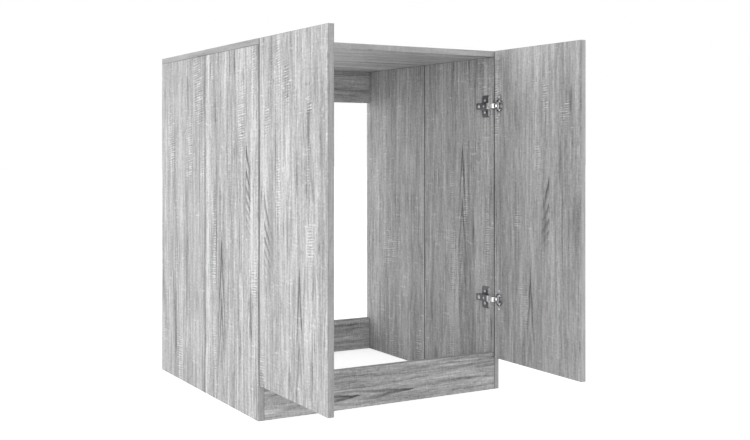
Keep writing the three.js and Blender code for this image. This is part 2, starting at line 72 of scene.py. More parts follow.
class Graph:
    """Adds nodes to one tree. A value is a number, a vector or another node's output."""

    def __init__(self, tree):
        self.tree = tree

    def feed(self, socket, value):
        if isinstance(value, bpy.types.NodeSocket):
            self.tree.links.new(value, socket)
        elif value is not None:
            socket.default_value = value

    def add(self, kind, values=(), **settings):
        node = self.tree.nodes.new(kind)
        for name, value in settings.items():
            setattr(node, name, value)
        for socket, value in zip(node.inputs, values):
            self.feed(socket, value)
        return node

    def fill(self, node, values):
        """Gives a node's inputs their values, by label."""
        for label, value in values.items():
            self.feed(node.inputs[label], value)
        return node

    def math(self, operation, first, *others):
        """One operation on its values, from the first on."""
        for other in others or (None,):
            first = self.add("ShaderNodeMath", (first, other), operation=operation).outputs[0]
        return first

    def vector(self, operation, *values):
        return self.add("ShaderNodeVectorMath", values, operation=operation).outputs[0]

    def plus(self, *values):
        return self.math("ADD", *values)

    def minus(self, first, other):
        return self.math("SUBTRACT", first, other)

    def times(self, *values):
        return self.math("MULTIPLY", *values)

    def most(self, *values):
        return self.math("MAXIMUM", *values)

    def joined(self, x, y, z):
        return self.add("ShaderNodeCombineXYZ", (x, y, z)).outputs[0]

    def split(self, vector):
        return self.add("ShaderNodeSeparateXYZ", (vector,)).outputs

    def noise(self, vector, detail):
        node = self.add("ShaderNodeTexNoise")
        return self.fill(node, {"Vector": vector, "Scale": 1.0, "Detail": detail}).outputs["Fac"]

    def step(self, value, low, high, to_low=0.0, to_high=1.0):
        """A soft step from one level to another, as the value climbs from low to high."""
        node = self.add("ShaderNodeMapRange", interpolation_type="SMOOTHSTEP")
        values = {"Value": value, "From Min": low, "From Max": high, "To Min": to_low, "To Max": to_high}
        return self.fill(node, values).outputs[0]


def floats(*labels):
    return [(label, "NodeSocketFloat") for label in labels]


def new_group(name, inputs, outputs):
    """A node group: its graph, what it is given, and the node of its results."""
    tree = bpy.data.node_groups.new(name, "ShaderNodeTree")
    for way, sockets in (("INPUT", inputs), ("OUTPUT", outputs)):
        for label, kind in sockets:
            tree.interface.new_socket(label, in_out=way, socket_type=kind)
    given = tree.nodes.new("NodeGroupInput").outputs
    return Graph(tree), given, tree.nodes.new("NodeGroupOutput")


def empty_graph(owner):
    owner.use_nodes = True
    owner.node_tree.nodes.clear()
    return Graph(owner.node_tree)


def new_material(name):
    material = bpy.data.materials.new(name)
    return material, empty_graph(material)


def surface(g, colour, roughness, height, relief, plain):
    """The material's shader and output. Relief is the bump's depth and strength."""
    shader = g.add("ShaderNodeBsdfPrincipled")
    g.fill(shader, {"Base Color": colour, "Roughness": roughness, **plain})
    bump = g.add("ShaderNodeBump")
    g.fill(bump, {"Distance": relief[0], "Strength": relief[1], "Height": height})
    g.feed(shader.inputs["Normal"], bump.outputs[0])
    g.add("ShaderNodeOutputMaterial", (shader.outputs[0],))


def streak(g, place, noise):
    """Noise drawn out along the grain, from -0.5 to 0.5. Place is across, through and along."""
    across, along, detail = noise
    scaled = g.joined(*(g.times(part, rate) for part, rate in zip(place, (across, across, along))))
    return g.minus(g.noise(scaled, detail), 0.5)


# Oak decor. Each noise is its turns per metre across the grain and along it, and its detail.
# A step is the stretch of a value over which it shows, and what it gives before and after.

# Arches: how far the heart line wanders and the strokes ripple and fray, in metres
HEART_NOISE = (1.0, 14.0, 2.0)
HEART_WANDER = 0.012
RIPPLE_NOISE = (60.0, 22.0, 2.0)
RIPPLE = 0.004
FRAY_NOISE = (150.0, 30.0, 1.0)
FRAY = 0.003
# Arches: their width at the top and where their sides start to fade, as shares of the width
TOP_SHARE = 0.2
FADE_SHARE = 0.10
# Arches: where they show across the heart line, along their length, and within each ring
HEART_STEP = (-0.003, 0.0)
START_STEP = (-0.03, 0.06)
END_STEP = (0.30, 1.1, 1.0, 0.0)
STROKE_RISE = (0.25, 0.75)
STROKE_FALL = (0.80, 0.98, 1.0, 0.0)

# Marks: how much they fray, and how they fade outwards
MARK_NOISE = (230.0, 24.0, 2.0)
MARK_FRAY = 1.6
MARK_STEP = (0.35, 1.0, 1.0, 0.0)

# Layers of the decor: the noise of each, the step over which it shows, and its weight in the grey
OAK_LAYERS = {
    "wander": ((7.0, 2.4, 2.0),),
    "flutter": ((45.0, 12.0, 1.0),),
    "broad": ((18.0, 0.9, 1.0), None, 0.34),
    "band": ((70.0, 3.6, 2.0), None, 0.30),
    "crisp": ((95.0, 4.5, 1.0), (-0.10, 0.10), 0.055),
    "narrow": ((170.0, 9.0, 2.0), None, 0.38),
    "fibre": ((520.0, 34.0, 2.0), None, 0.40),
    "mottle": ((110.0, 190.0, 2.0), None, 0.24),
    "ring_fibre": ((420.0, 11.0, 2.0), None, 0.42),
    "arches": ((60.0, 11.0, 2.0), (-0.16, 0.14, 0.6, 1.0), -0.40),
    "dark": ((300.0, 14.0, 2.0), (-0.14, 0.14, 0.35, 1.0), -0.24),
    "light": ((240.0, 40.0, 2.0), (-0.15, 0.15, 0.3, 1.0), 0.11),
    "levels": ((24.0, 1.3, 1.0),),
    "rings": ((40.0, 8.0, 2.0), (-0.10, 0.16), -0.12),
    "grain_line": ((150.0, 1.5, 0.0), (0.15, 0.25), -0.14),
    "grain_patch": ((14.0, 3.5, 1.0), (-0.08, 0.12)),
    "dashes": ((130.0, 26.0, 1.0), (0.14, 0.26), -0.13),
    "pores": ((850.0, 60.0, 0.0), (0.14, 0.30), -0.12),
    "saw_column": ((20.0, 1.6, 1.0), (0.02, 0.20)),
    "saw_patch": ((9.0, 6.0, 1.0), (-0.06, 0.14)),
    "saw_jitter": ((18.0, 60.0, 1.0),),
    "saw_wave": (None, (-0.1, 0.9, -0.35, 1.0), 0.72),
    "saw_bar": ((24.0, 165.0, 0.0), (-0.04, 0.18, -0.30, 1.0), 0.42),
    "saw": ((60.0, 70.0, 1.0), (-0.16, 0.14, 0.15, 1.0), 0.28),
    "saw_single": ((26.0, 150.0, 0.0), (0.20, 0.32), 0.11),
}
# How far the grain sways, in metres
OAK_SWAY = {"wander": 0.012, "flutter": 0.0030}
# Level lines in the drawn-out field of the rings, and where in each the line lies
RING_LEVELS = 7.0
RING_RISE = (0.45, 0.88)
RING_FALL = (0.90, 0.99, 1.0, 0.0)
# How much of the plain figure the arches take away, and where their own fibre noise is cut
ARCH_COVER = 0.7
RING_DEPTH = 0.3
# Saw marks: from tick to tick in metres, their slant, and how unevenly they follow
SAW_PITCH = 0.0063
SAW_SLANT = 0.10
SAW_JITTER = 8.0
# The grey of the decor, what banding and the painted shade at joints add to it, and how much plainer banding
# is
OAK_GREY = 0.772
OAK_GAMMA = 2.2
GREY_LIMITS = (0.05, 0.95)
# Banding tone: partly the banding's own grey, partly painted shade of edges that face away from the light
BANDING_AND_SHADE_TONE = -0.09
BANDING_CALM = 0.65
# Painted shade: how much darker joints and board ends are made
SEAM_SHADE_TONE = -0.62
# Relief and roughness
PORE_RELIEF = 1.5
ARCH_RELIEF = 0.6
DARK_RELIEF = 0.8
OAK_ROUGHNESS = 0.50
FIBRE_ROUGHNESS = 0.5
PORE_ROUGHNESS = -1.0
OAK_BUMP = (0.6 * MM, 0.5)
OAK_PLAIN = {"Specular IOR Level": 0.35}
# Painted shade in lines along the joints between boards and at board ends, where the gaps lie in shadow, as
# the steps in which it fades
SEAM_SHADE_STEP = (1.4 * MM, 2.4 * MM, 1.0, 0.0)
END_SHADE_STEP = (0.5 * MM, 1.2 * MM, 0.3, 0.0)
# How the pattern goes on through a board, and how it lies on banded ends
DEPTH_SHIFT = 0.7
DEPTH_RATE = 0.8
END_DEPTH_RATE = 0.9
END_LENGTH_RATE = 0.7
END_FACING = 0.7
EDGE_FACING = 0.5


def cathedral_group():
    """Growth rings cut at a slant: strokes that fall away from a heart line, and how far they show."""
    labels = ("Across", "Along", "Lean", "Spread", "Pitch", "Heart", "Top", "Width", "Length", "Side")
    g, given, result = new_group("oak_cathedral", floats(*labels), floats("Ring", "Mask", "Line"))
    place = (given["Across"], 0.0, given["Along"])
    wander = streak(g, (0.0, 0.0, given["Along"]), HEART_NOISE)
    offset = g.plus(g.minus(given["Across"], given["Heart"]), g.times(wander, HEART_WANDER))
    fall = g.minus(given["Top"], given["Along"])
    drop = g.times(fall, g.plus(given["Lean"], g.times(fall, given["Spread"])))
    out = g.math("ABSOLUTE", offset)
    ring = g.plus(out, g.times(drop, -1.0), g.times(streak(g, place, RIPPLE_NOISE), RIPPLE))
    ring = g.plus(ring, g.times(streak(g, place, FRAY_NOISE), FRAY))
    reach = g.math("DIVIDE", fall, given["Length"])
    width = g.times(given["Width"], g.plus(TOP_SHARE, g.times(reach, 1.0 - TOP_SHARE)))
    side = g.step(out, g.times(width, FADE_SHARE), width, 1.0, 0.0)
    shown = g.step(g.times(offset, given["Side"]), *HEART_STEP)
    mask = g.times(side, shown, g.step(reach, *START_STEP), g.step(reach, *END_STEP))
    turn = g.math("FRACT", g.math("DIVIDE", ring, given["Pitch"]))
    line = g.times(g.step(turn, *STROKE_RISE), g.step(turn, *STROKE_FALL))
    g.fill(result, {"Ring": ring, "Mask": mask, "Line": line})
    return g.tree


def mark_group():
    """A soft spot or streak at a chosen place, frayed along the grain, from 0 to 1."""
    labels = ("Across", "Along", "Place", "Height", "Width", "Length")
    g, given, result = new_group("oak_mark", floats(*labels), floats("Mask"))
    fray = streak(g, (given["Across"], 0.0, given["Along"]), MARK_NOISE)
    across = g.math("DIVIDE", g.minus(given["Across"], given["Place"]), given["Width"])
    along = g.math("DIVIDE", g.minus(given["Along"], given["Height"]), given["Length"])
    reach = g.math("SQRT", g.plus(g.times(across, across), g.times(along, along)))
    g.fill(result, {"Mask": g.step(g.plus(reach, g.times(fray, MARK_FRAY)), *MARK_STEP)})
    return g.tree


def oak_group():
    """Grey sawn-oak decor. Place is across the grain, through the board and along the grain."""
    labels = ("Ring", "Mask", "Line", "Dark", "Light", "Saw", "Edge", "Seam", "Tone", "Contrast", "BandingAndShade")
    g, given, result = new_group(
        "grey_oak",
        [("Place", "NodeSocketVector"), *floats(*labels)],
        [("Color", "NodeSocketColor"), *floats("Height", "Sheen")],
    )
    across, through, along = g.split(given["Place"])
    for name, amount in OAK_SWAY.items():
        sway = streak(g, (across, through, along), OAK_LAYERS[name][0])
        across = g.plus(across, g.times(sway, amount))
    place = (across, through, along)

    def field(name):
        return streak(g, place, OAK_LAYERS[name][0])

    def stepped(name):
        return g.step(field(name), *OAK_LAYERS[name][1])

    def weighed(name, *parts):
        return g.times(*parts, OAK_LAYERS[name][2])

    def shown(name, *parts):
        """A layer at its weight, where its own noise is over the step."""
        return weighed(name, stepped(name), *parts)

    # In the arches the fine grain follows the rings
    fibre = field("fibre")
    ring_fibre = streak(g, (given["Ring"], RING_DEPTH, along), OAK_LAYERS["ring_fibre"][0])
    keep = g.minus(1.0, g.times(given["Mask"], ARCH_COVER))
    fine = g.plus(
        g.times(keep, g.plus(weighed("narrow", field("narrow")), weighed("fibre", fibre))),
        weighed("ring_fibre", given["Mask"], ring_fibre),
        weighed("mottle", field("mottle")),
    )
    crisp = weighed("crisp", g.minus(stepped("crisp"), 0.5))
    shade = g.plus(weighed("broad", field("broad")), weighed("band", field("band")), crisp, fine)
    arches = shown("arches", given["Mask"], given["Line"])
    dark = shown("dark", given["Dark"])
    light = shown("light", given["Light"])

    # Growth rings cut along the grain: level lines of a drawn-out field
    turn = g.math("FRACT", g.times(field("levels"), RING_LEVELS))
    rings = shown("rings", keep, g.step(turn, *RING_RISE), g.step(turn, *RING_FALL))

    # Dark grain lines, thin, long and few, and short dashes and pores
    grain_line = shown("grain_line", stepped("grain_patch"))
    pores = g.plus(shown("dashes"), shown("pores"))

    # Saw marks: light ticks across the grain, in columns, and some that stand alone
    worked = g.most(g.times(stepped("saw_column"), stepped("saw_patch")), given["Saw"])
    slanted = g.plus(along, g.times(across, SAW_SLANT))
    phase = g.plus(g.times(slanted, 2.0 * math.pi / SAW_PITCH), g.times(field("saw_jitter"), SAW_JITTER))
    wave = g.step(g.math("SINE", phase), *OAK_LAYERS["saw_wave"][1])
    tick = g.plus(weighed("saw_wave", wave), shown("saw_bar"))
    strength = stepped("saw")
    saw = g.plus(weighed("saw", worked, tick, strength), shown("saw_single", strength))

    soft = g.minus(1.0, g.times(given["Edge"], BANDING_CALM))
    layers = g.plus(shade, arches, dark, light, rings, grain_line, pores, saw)
    figure = g.times(given["Contrast"], soft, layers)
    # Banding tone on edges: partly painted shade
    banding = g.times(given["Edge"], given["BandingAndShade"])
    # The grey takes the painted shade at joints and board ends
    grey = g.plus(OAK_GREY, given["Tone"], banding, g.times(given["Seam"], SEAM_SHADE_TONE), figure)
    grey = g.math("MINIMUM", g.most(grey, GREY_LIMITS[0]), GREY_LIMITS[1])
    level = g.math("POWER", grey, OAK_GAMMA)
    relief = (g.times(pores, PORE_RELIEF), g.times(arches, ARCH_RELIEF), g.times(dark, DARK_RELIEF))
    height = g.times(g.plus(fine, saw, *relief), soft)
    sheen = g.plus(OAK_ROUGHNESS, g.times(fibre, FIBRE_ROUGHNESS), g.times(pores, PORE_ROUGHNESS))
    g.fill(result, {"Color": g.joined(level, level, level), "Height": height, "Sheen": sheen})
    return g.tree


SEAM_BACK = (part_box("left_side_front")[1].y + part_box("left_side_rear")[0].y) / 2
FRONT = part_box("right_side_front")[0].y
DOOR_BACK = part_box("right_door")[1].y
CATHEDRAL = cathedral_group()
MARK = mark_group()
OAK = oak_group()


def grain_place(g, order, face):
    """Where a point lies in the board's pattern, whether it is on an edge, and its own place."""
    texture = g.add("ShaderNodeTexCoord").outputs
    parts = dict(zip("XYZ", g.split(texture["Object"])))
    facing = dict(zip("XYZ", g.split(texture["Normal"])))
    across, through, along = (parts[axis] for axis in order)
    through = g.minus(through, face)
    shifted = g.plus(across, g.times(through, DEPTH_SHIFT))
    flat = g.joined(shifted, g.times(through, DEPTH_RATE), along)
    banded = g.joined(g.times(through, END_DEPTH_RATE), g.times(along, END_LENGTH_RATE), across)
    end = g.math("GREATER_THAN", g.math("ABSOLUTE", facing[order[2]]), END_FACING)
    away = g.vector("SUBTRACT", banded, flat)
    place = g.vector("ADD", flat, g.vector("MULTIPLY", away, g.joined(end, end, end)))
    edge = g.math("LESS_THAN", g.math("ABSOLUTE", facing[order[1]]), EDGE_FACING)
    return place, edge, across, along


def off_edge(g, value, low, high):
    """How far a coordinate is from the nearer end of a board."""
    return g.math("MINIMUM", g.minus(value, low), g.minus(high, value))


def oak_material(name, board):
    material, g = new_material(f"oak_{name}")
    order = board.get("order", "YXZ")
    low, high = (tuple(corner["XYZ".index(axis)] for axis in order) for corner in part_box(name))
    face = high[1] if name.startswith("top") else low[1]
    own, edge, flat_across, flat_along = grain_place(g, order, face)
    own_across, _, own_along = g.split(own)
    cut_place = g.vector("ADD", own, board["cut"])

    def placed(group, values):
        return g.add("ShaderNodeGroup", (own_across, own_along, *values), node_tree=group).outputs

    def strongest(marks):
        return g.most(0.0, 0.0, *(placed(MARK, values)["Mask"] for values in marks))

    ring, mask, line = 0.0, 0.0, 0.0
    for strokes, *values in board.get("arches", ()):
        shown = placed(CATHEDRAL, (*strokes, *values))
        stronger = g.math("GREATER_THAN", shown["Mask"], mask)
        weaker = g.minus(1.0, stronger)
        ring = g.plus(g.times(stronger, shown["Ring"]), g.times(weaker, ring))
        line = g.plus(g.times(stronger, shown["Line"]), g.times(weaker, line))
        mask = g.most(mask, shown["Mask"])
    marks = (strongest(board.get(kind, ())) for kind in ("dark", "light", "saw"))
    # Painted shade at board ends and along the joint lines, on faces but not on edges
    near = off_edge(g, flat_across, low[0], high[0])
    near = g.math("MINIMUM", near, off_edge(g, flat_along, low[2], high[2]))
    seam_shade = g.step(near, *END_SHADE_STEP)
    for line_place in board.get("lines", ()):
        off = g.math("ABSOLUTE", g.minus(flat_across, line_place))
        seam_shade = g.most(seam_shade, g.step(off, *SEAM_SHADE_STEP))
    seam_shade = g.times(seam_shade, g.minus(1.0, edge))
    look = (board.get("tone", 0.0), board.get("contrast", 1.0), board.get("banding", BANDING_AND_SHADE_TONE))
    values = (cut_place, ring, mask, line, *marks, edge, seam_shade, *look)
    oak = g.add("ShaderNodeGroup", values, node_tree=OAK).outputs
    surface(g, oak["Color"], oak["Sheen"], oak["Height"], OAK_BUMP, OAK_PLAIN)
    return material


# An arch's strokes: how steeply they fall at its top, how much more with each metre, their pitch
FEATHER = (0.0, 2.6, 0.024)
CROWN = (0.08, 0.10, 0.016)

# Each board's grain: its axes across, through and along where it isn't upright, the cut of the
# pattern that it takes, lines of painted shade where it meets a neighbour, arches and marks. An
# arch has its strokes, heart line, top, width, length, and the side that alone shows. A mark has
# its place across and along, its width and its length. Tone is added to the board's grey,
# contrast multiplies its figure, and banding is the tone of its edges, partly painted shade set
# board by board to how light falls on each edge.
BOARDS = {
    "left_side_front": {
        "tone": 0.02,
        "contrast": 1.2,
        "lines": (SEAM_BACK,),
        "cut": (0.31, 0.0, 0.10),
        "arches": [(FEATHER, -0.0985, 0.7015, 0.060, 0.29, -1.0), (CROWN, 0.060, 0.46, 0.050, 0.42, 0.0)],
        "dark": [(-0.118, 0.60, 0.012, 0.13), (-0.022, 0.87, 0.006, 0.05), (-0.125, 0.25, 0.016, 0.10)],
        "light": [(-0.066, 0.27, 0.018, 0.10)],
        "saw": [(-0.067, 0.71, 0.032, 0.11)],
    },
    "left_side_rear": {
        "tone": -0.01,
        "lines": (SEAM_BACK,),
        "cut": (1.72, 0.3, 0.70),
        "dark": [(0.308, 0.82, 0.012, 0.11), (0.406, 0.15, 0.014, 0.14), (0.168, 0.366, 0.010, 0.09)],
        "light": [(0.316, 0.14, 0.02, 0.05), (0.455, 0.69, 0.02, 0.22), (0.318, 0.865, 0.010, 0.02)],
        "saw": [(0.431, 0.64, 0.025, 0.09), (0.29, 0.64, 0.02, 0.14)],
    },
    "right_side_front": {
        "tone": 0.02,
        "lines": (SEAM_BACK, FRONT),
        "cut": (3.15, 0.6, 1.30),
        "arches": [(CROWN, -0.02, 0.7, 0.05, 0.5, 0.0)],
    },
    "right_side_rear": {"tone": 0.02, "lines": (SEAM_BACK,), "cut": (4.42, 0.9, 1.90)},
    "left_door": {
        "contrast": 1.05,
        # Banding set darker: painted shade on this door's edges
        "banding": -0.115,
        "cut": (5.25, 0.2, 2.60),
        "arches": [(FEATHER, -0.203, 0.584, 0.088, 0.26, -1.0), (CROWN, -0.390, 0.42, 0.045, 0.34, 0.0)],
        "dark": [
            (-0.438, 0.70, 0.012, 0.09),
            (-0.452, 0.157, 0.010, 0.08),
            (-0.485, 0.439, 0.006, 0.014),
            (-0.342, 0.127, 0.012, 0.04),
        ],
        "light": [(-0.481, 0.553, 0.007, 0.010), (-0.327, 0.63, 0.022, 0.10)],
        "saw": [
            (-0.321, 0.802, 0.026, 0.07),
            (-0.217, 0.717, 0.022, 0.05),
            (-0.438, 0.742, 0.020, 0.03),
            (-0.443, 0.447, 0.022, 0.06),
        ],
    },
    "right_door": {
        "lines": (DOOR_BACK,),
        "contrast": 0.85,
        # Banding set lighter: painted light on this door's edges
        "banding": -0.048,
        "cut": (6.85, 0.5, 3.20),
        "arches": [(FEATHER, -0.405, 0.615, 0.060, 0.24, 1.0), (CROWN, -0.330, 0.36, 0.040, 0.30, 0.0)],
        "dark": [(-0.386, 0.457, 0.010, 0.08), (-0.489, 0.772, 0.008, 0.05)],
        "saw": [(-0.390, 0.784, 0.018, 0.06), (-0.467, 0.744, 0.024, 0.05), (-0.274, 0.456, 0.022, 0.04)],
    },
    "top_front": {"order": "YZX", "tone": 0.02, "lines": (SEAM_BACK,), "cut": (8.12, 0.7, 4.10)},
    "top_rear": {"order": "YZX", "tone": 0.02, "lines": (SEAM_BACK,), "cut": (9.63, 0.4, 4.80)},
    "plinth": {"order": "ZYX", "cut": (11.2, 0.8, 5.40), "arches": [(CROWN, 0.03, 0.11, 0.03, 0.45, 0.0)]},
    "back_rail_upper": {"order": "ZYX", "cut": (12.4, 0.1, 6.20)},
    "back_rail_lower": {"order": "ZYX", "cut": (13.5, 0.3, 6.90)},
}


def paint(node, material):
    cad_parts[node].material_slots[0].material = material


# Metal: noise turns per metre, how much tint and roughness vary, and the bump's depth
METAL_RATES = (900.0, 90.0)
METAL_DETAIL = 3.0
METAL_TINT = 0.18
METAL_ROUGHNESS_SPREAD = 0.22
METAL_BUMP_DEPTH = 0.05 * MM


def metal_material(name, colour, roughness, grain):
    material, g = new_material(name)
    coordinates = g.add("ShaderNodeTexCoord").outputs["Object"]
    scaled = (g.vector("MULTIPLY", coordinates, (rate,) * 3) for rate in METAL_RATES)
    speck, cloud = (g.noise(place, METAL_DETAIL) for place in scaled)
    cloud = g.minus(cloud, 0.5)
    tint = g.plus(1.0, g.times(cloud, METAL_TINT))
    colour = g.joined(*(g.times(tint, part) for part in colour))
    rough = g.plus(roughness, g.times(cloud, METAL_ROUGHNESS_SPREAD))
    surface(g, colour, rough, speck, (METAL_BUMP_DEPTH, grain), {"Metallic": 1.0})
    return material


# Beech: its colour, the grain and the flecks, and how much they add to shade and roughness
BEECH = (0.58, 0.36, 0.20)
BEECH_GRAIN = (700.0, 40.0, 2.0)
BEECH_FLECK = (1500.0, 420.0, 0.0)
FLECK_STEP = (0.14, 0.26)
GRAIN_SHADE = 0.30
FLECK_SHADE = -0.28
FLECK_RELIEF = -0.5
BEECH_ROUGHNESS = 0.58
GRAIN_ROUGHNESS = 0.4
BEECH_BUMP = (0.2 * MM, 0.5)


def beech_material():
    """Turned beech with its grain along Y, and the short dark flecks of its rays."""
    material, g = new_material("beech")
    x, y, z = g.split(g.add("ShaderNodeTexCoord").outputs["Object"])
    grain = streak(g, (x, z, y), BEECH_GRAIN)
    fleck = g.step(streak(g, (x, z, y), BEECH_FLECK), *FLECK_STEP)
    shade = g.plus(1.0, g.times(grain, GRAIN_SHADE), g.times(fleck, FLECK_SHADE))
    colour = g.joined(*(g.times(shade, part) for part in BEECH))
    rough = g.plus(BEECH_ROUGHNESS, g.times(grain, GRAIN_ROUGHNESS))
    surface(g, colour, rough, g.plus(grain, g.times(fleck, FLECK_RELIEF)), BEECH_BUMP, {})
    return material


for board, values in BOARDS.items():
    paint(board, oak_material(board, values))

# Each metal's colour, roughness and bump
NICKEL = metal_material("nickel", (0.82, 0.82, 0.83), 0.36, 0.25)
# A darker copy of the nickel for the cup: painted shade, for the shadow round its ears
CUP_SHADED_NICKEL = metal_material("cup_shaded_nickel", (0.46, 0.46, 0.47), 0.40, 0.25)
# A dark copy of the nickel: painted shade, for the plate and the arm's rear, which lie in shadow
SHADE_DARK_NICKEL = metal_material("shade_dark_nickel", (0.16, 0.16, 0.17), 0.34, 0.35)
WOOD = beech_material()
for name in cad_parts:
    if "dowel" in name:
        paint(name, WOOD)
    elif name not in BOARDS:
        # Arms, plates and inner links take the dark copy: painted shade
        paint(name, SHADE_DARK_NICKEL if name.endswith(("arm", "plate", "inner_link")) else NICKEL)

# Finishes of the hinge: the record's slot, and the material
BRIGHT = ("hinge_nickel", NICKEL)
# The cup's finish: the darker nickel, painted shade
SHADED_FINISH = ("hinge_nickel", CUP_SHADED_NICKEL)
# The dark finish: painted shade
SHADE_DARK = ("hinge_dark_nickel", SHADE_DARK_NICKEL)


# Small meshes in millimetres


def put(name, data):
    thing = bpy.data.objects.new(name, data)
    bpy.context.scene.collection.objects.link(thing)
    return thing


def arc(centre, radius, start, end, steps):
    """Points on an arc in a plane, with its angles in degrees."""
    points = []
    for i in range(steps + 1):
        angle = math.radians(start + (end - start) * i / steps)
        points.append((centre[0] + radius * math.cos(angle), centre[1] + radius * math.sin(angle)))
    return points


def circle(centre, radius, steps=28):
    return arc(centre, radius, 0, 360 - 360 / steps, steps - 1)


def opening(centre, radius, steps):
    """A circle that runs the other way round, for a hole in a sheet."""
    return arc(centre, radius, 360, 360 / steps, steps - 1)


def mesh_of(bm):
    bmesh.ops.recalc_face_normals(bm, faces=bm.faces)
    mesh = bpy.data.meshes.new("shape")
    bm.to_mesh(mesh)
    bm.free()
    return mesh


def prism(points, low, high):
    """A flat outline, extruded from one height to another."""
    bm = bmesh.new()
    face = bm.faces.new([bm.verts.new((x, y, low)) for x, y in points])
    grown = bmesh.ops.extrude_face_region(bm, geom=[face])["geom"]
    top = [v for v in grown if isinstance(v, bmesh.types.BMVert)]
    bmesh.ops.translate(bm, verts=top, vec=(0.0, 0.0, high - low))
    return mesh_of(bm)


def block(low, high):
    corners = [(low[0], low[1]), (high[0], low[1]), (high[0], high[1]), (low[0], high[1])]
    return prism(corners, low[2], high[2])


def lathe(profile, steps):
    """A profile of radius and height, turned about the upright axis."""
    bm = bmesh.new()
    rings = []
    for radius, height in profile:
        turns = (2 * math.pi * i / steps for i in range(steps if radius else 1))
        rings.append([bm.verts.new((radius * math.cos(t), radius * math.sin(t), height)) for t in turns])
    for lower, upper in zip(rings, rings[1:]):
        for i in range(steps):
            j = (i + 1) % steps
            below = [lower[i % len(lower)], lower[j % len(lower)]]
            above = [upper[j % len(upper)], upper[i % len(upper)]]
            bm.faces.new(list(dict.fromkeys(below + above)))
    return mesh_of(bm)


def baked(mesh, modifiers=()):
    """The mesh as it comes out of modifiers, each given by its kind and settings."""
    holder = put("holder", mesh)
    for kind, settings in modifiers:
        modifier = holder.modifiers.new(kind, kind)
        for name, value in settings.items():
            setattr(modifier, name, value)
    bpy.context.view_layer.update()
    depsgraph = bpy.context.evaluated_depsgraph_get()
    result = bpy.data.meshes.new_from_object(holder.evaluated_get(depsgraph))
    bpy.data.objects.remove(holder)
    return result


def combined(mesh, operation, others):
    helpers = [put("helper", other) for other in others]
    plain = {"operation": operation, "solver": "EXACT"}
    result = baked(mesh, [("BOOLEAN", {**plain, "object": helper}) for helper in helpers])
    for helper in helpers:
        bpy.data.objects.remove(helper)
    return result


def cut(mesh, *tools):
    return combined(mesh, "DIFFERENCE", tools)


def softened(mesh, width, segments=2, angle=40.0):
    limit = {"limit_method": "ANGLE", "angle_limit": math.radians(angle), "use_clamp_overlap": True}
    return baked(mesh, [("BEVEL", {"width": width, "segments": segments, **limit})])


# Sharper bends than this stay sharp in the shading, in degrees
SHARP_ANGLE = 35.0
FLAT_FACE_WEIGHT = 100


def smoothed(mesh):
    """Smooth shading between sharp edges, with flat faces kept flat."""
    mesh.shade_smooth()
    mesh.set_sharp_from_angle(angle=math.radians(SHARP_ANGLE))
    return baked(mesh, [("WEIGHTED_NORMAL", {"keep_sharp": True, "weight": FLAT_FACE_WEIGHT})])


def sheet(outlines, low, high, edge):
    """A stamped sheet in the XY plane: the first outline, less the others, with rounded edges."""
    curve = bpy.data.curves.new("sheet", "CURVE")
    curve.dimensions = "2D"
    curve.fill_mode = "BOTH"
    for outline in outlines:
        spline = curve.splines.new("POLY")
        spline.points.add(len(outline) - 1)
        for point, (x, y) in zip(spline.points, outline):
            point.co = (x, y, 0.0, 1.0)
        spline.use_cyclic_u = True
    curve.extrude = (high - low) / 2 - edge
    curve.bevel_depth = edge
    curve.bevel_resolution = 1
    curve.offset = -edge
    mesh = baked(curve)
    mesh.transform(at(0.0, 0.0, (high + low) / 2))
    return mesh


def together(*meshes):
    bm = bmesh.new()
    for mesh in meshes:
        bm.from_mesh(mesh)
    merged = bpy.data.meshes.new("shape")
    bm.to_mesh(merged)
    bm.free()
    return merged


def turned(mesh, matrix):
    mesh.transform(matrix)
    return mesh


def at(x, y, z):
    return Matrix.Translation((x, y, z))


# A flat shape's own axes laid along the hinge's: on the cabinet side's face, and on the door's
LAST_ROW = (0, 0, 0, 1)
ON_SIDE = Matrix(((0, 0, 1, 0), (1, 0, 0, 0), (0, 1, 0, 0), LAST_ROW))
ON_DOOR = Matrix(((1, 0, 0, 0), (0, 0, -1, 0), (0, 1, 0, 0), LAST_ROW))
OUT_OF_DOOR = Matrix(((1, 0, 0, 0), (0, 0, 1, 0), (0, -1, 0, 0), LAST_ROW))


# Concealed cup hinge. On the cabinet, x runs inward, y back and z up from the front edge of the
# side's inner face. On the open door, x runs from the hinge edge along it and y out of it.

# How far a cutting shape reaches past what it cuts, and the stretch that cuts the arm's web
CUT_PAST = 5.0
WEB_CUT = (10.0, 20.0)
LINK_CUT = (-9.0, 9.0)
# A line this near an edge still counts as on it
EDGE_MARGIN = 0.1
# Only edges between faces that meet at more than this are rounded, on cut shapes, in degrees
CORNER_ANGLE = 50.0

CUP_CENTRE = 22.5
CUP_RADIUS = 17.2
CUP_INSIDE = 16.4
CUP_DEPTH = 11.5
CUP_WALL = 0.8
CUP_CORNER = 2.5
CUP_INSIDE_CORNER = 2.0
CUP_RIM = 0.8
CUP_STEPS = 72
CUP_FLOOR = ((12.6, 0.0), (12.0, 0.5), (0.0, 0.5))
RIM_RADIUS = 18.6
FLANGE_LOW = 0.2
FLANGE_TOP = 1.4
FLANGE_EDGE = 0.3
FLANGE_MOUTH_GAP = 0.3
EAR_CENTRE = 24.0
EAR_HALF_WIDTH = 8.5
EAR_HALF_HEIGHT = 31.0
EAR_FILLET = 3.5
EAR_HOLE_RADIUS = 2.3
CUP_SCREW_OFFSET = 24.0
MOUTH_HALF_HEIGHT = 6.6
MOUTH_DEPTH = 3.2
ARM_HALF = 8.25
ARM_SHEET = 1.2
ARM_LENGTH = 62.0
ARM_WEB = 16.0
ARM_FOOT = 3.0
ARM_NECK = 12.0
ARM_FOLD = 1.4
ARM_THROAT = (7.5, 6.0)
ARM_OPEN_FROM = 3.6
